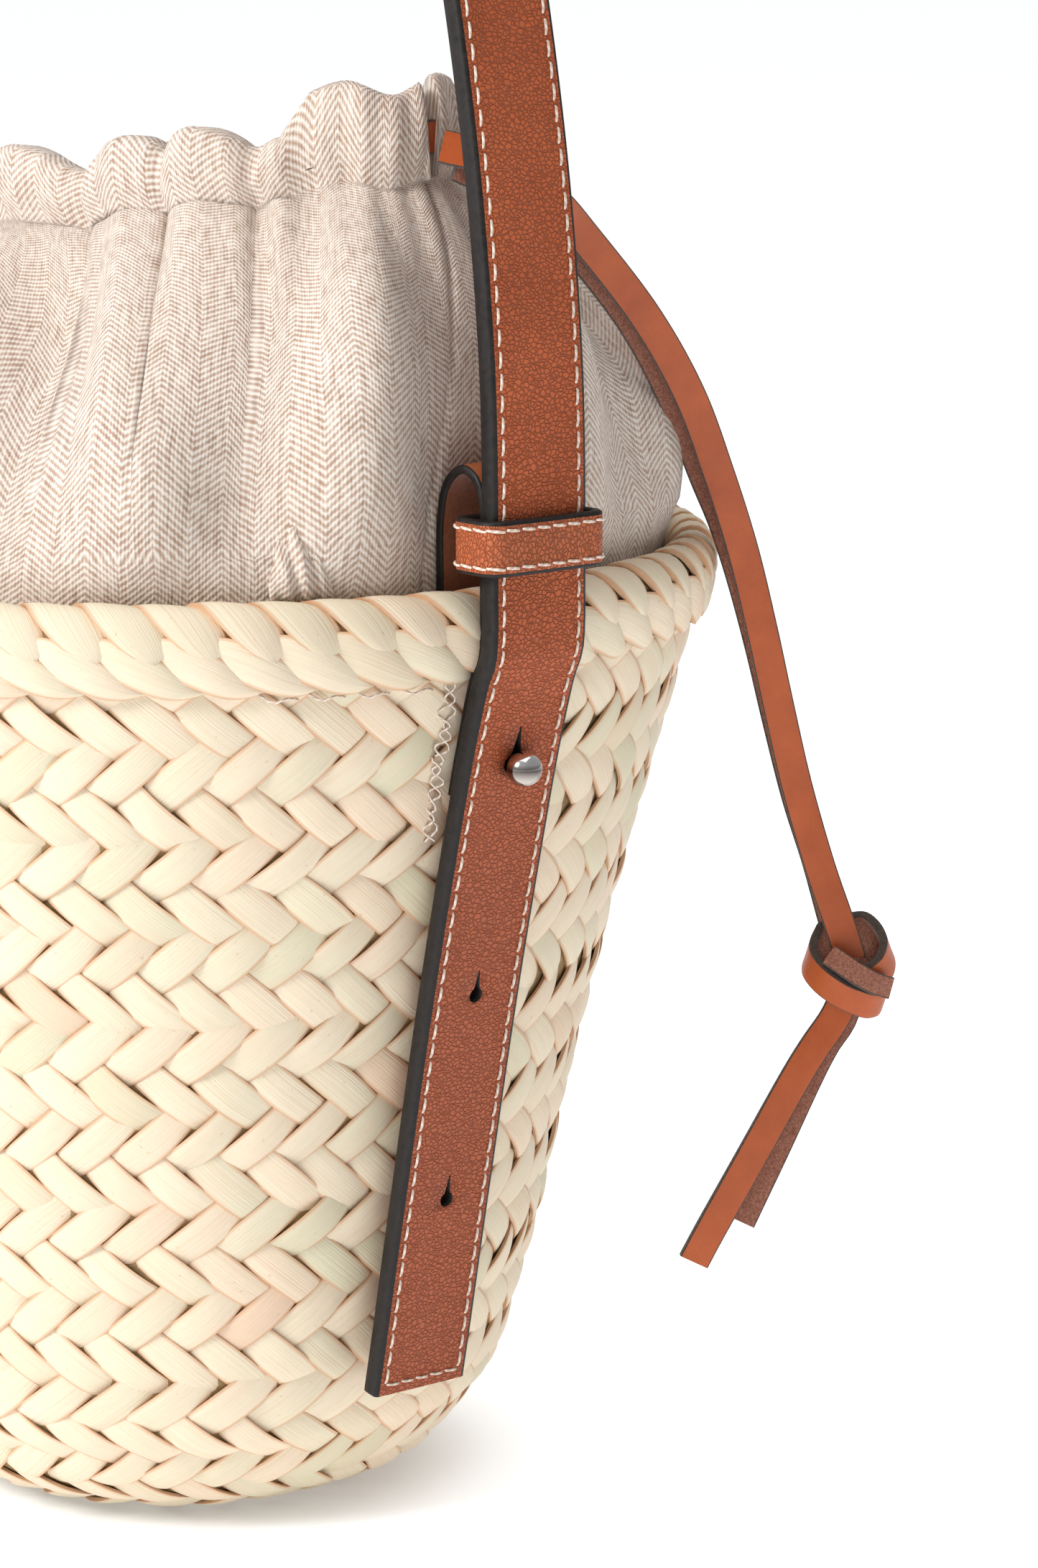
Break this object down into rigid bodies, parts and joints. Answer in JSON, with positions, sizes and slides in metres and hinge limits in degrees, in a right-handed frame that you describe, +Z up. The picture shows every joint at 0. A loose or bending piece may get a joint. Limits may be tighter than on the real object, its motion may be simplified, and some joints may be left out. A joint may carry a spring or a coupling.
{
  "type": "bucket bag",
  "caption": "Plaited palm bucket bag with a gathered linen drawstring pouch and an arched leather shoulder strap that buttons onto ball studs.",
  "frame": {"origin": "centre of the basket's underside, on the surface that the bag stands on", "axes": "+Z up; +X towards the strap end, stud and keeper that are seen; the pouch's two strap sides are at +X and -X and its broad front faces -Y"},
  "size_m": [0.2602, 0.2396, 0.537],
  "materials": {
    "palm": "satin",
    "linen": "matte",
    "strap_face": "satin",
    "strap_lining": "matte",
    "lace": "satin",
    "steel": "polished"
  },
  "bodies": {
    "basket": {"basket_wall": "palm", "basket_base": "palm", "rim_braid_upper": "palm", "rim_braid_lower": "palm", "pouch_lining": "linen", "pouch_bottom": "linen", "pouch_crown": "linen", "pouch_loop": "linen", "drawstring_strand_a": "lace", "drawstring_strand_b": "lace", "drawstring_knot": "lace", "drawstring_tail_a": "lace", "drawstring_tail_b": "lace", "hanger_right": "strap_lining", "stud_backing_right": "strap_lining", "stud_ball_right": "steel", "stud_screw_right": "steel", "strap_face_run_right": "strap_face", "strap_lining_run_right": "strap_lining", "hanger_left": "strap_lining", "stud_backing_left": "strap_lining", "stud_ball_left": "steel", "stud_screw_left": "steel", "strap_face_run_left": "strap_face", "strap_lining_run_left": "strap_lining"},
    "mouth": {"drawstring_channel": "linen", "drawstring_loop": "lace"},
    "strap": {"strap_face_arch": "strap_face", "strap_lining_arch": "strap_lining"},
    "flap_right": {"strap_face_flap_right": "strap_face", "strap_lining_flap_right": "strap_lining"},
    "flap_left": {"strap_face_flap_left": "strap_face", "strap_lining_flap_left": "strap_lining"},
    "keeper_right": {"keeper_right": "strap_face"},
    "keeper_left": {"keeper_left": "strap_face"}
  },
  "joints": [
    {"name": "strap_swing", "type": "hinge", "parent": "basket", "child": "strap", "pos_m": [0, 0, 0.2535], "axis": [1, 0, 0], "range_deg": [-75, 75]},
    {"name": "pouch_collapse", "type": "slide", "parent": "basket", "child": "mouth", "axis": [0, 0, -1], "range_m": [0, 0.06], "deforming": ["pouch_crown", "drawstring_strand_a", "drawstring_strand_b"]},
    {"name": "flap_right_lift", "type": "hinge", "parent": "basket", "child": "flap_right", "pos_m": [0.1137, 0, 0.16], "axis": [0, -1, 0], "range_deg": [0, 50]},
    {"name": "flap_left_lift", "type": "hinge", "parent": "basket", "child": "flap_left", "pos_m": [-0.1137, 0, 0.16], "axis": [0, 1, 0], "range_deg": [0, 50]},
    {"name": "keeper_right_slide", "type": "slide", "parent": "basket", "child": "keeper_right", "axis": [0, 0, 1], "range_m": [-0.003, 0.003]},
    {"name": "keeper_left_slide", "type": "slide", "parent": "basket", "child": "keeper_left", "axis": [0, 0, 1], "range_m": [-0.003, 0.003]}
  ]
}
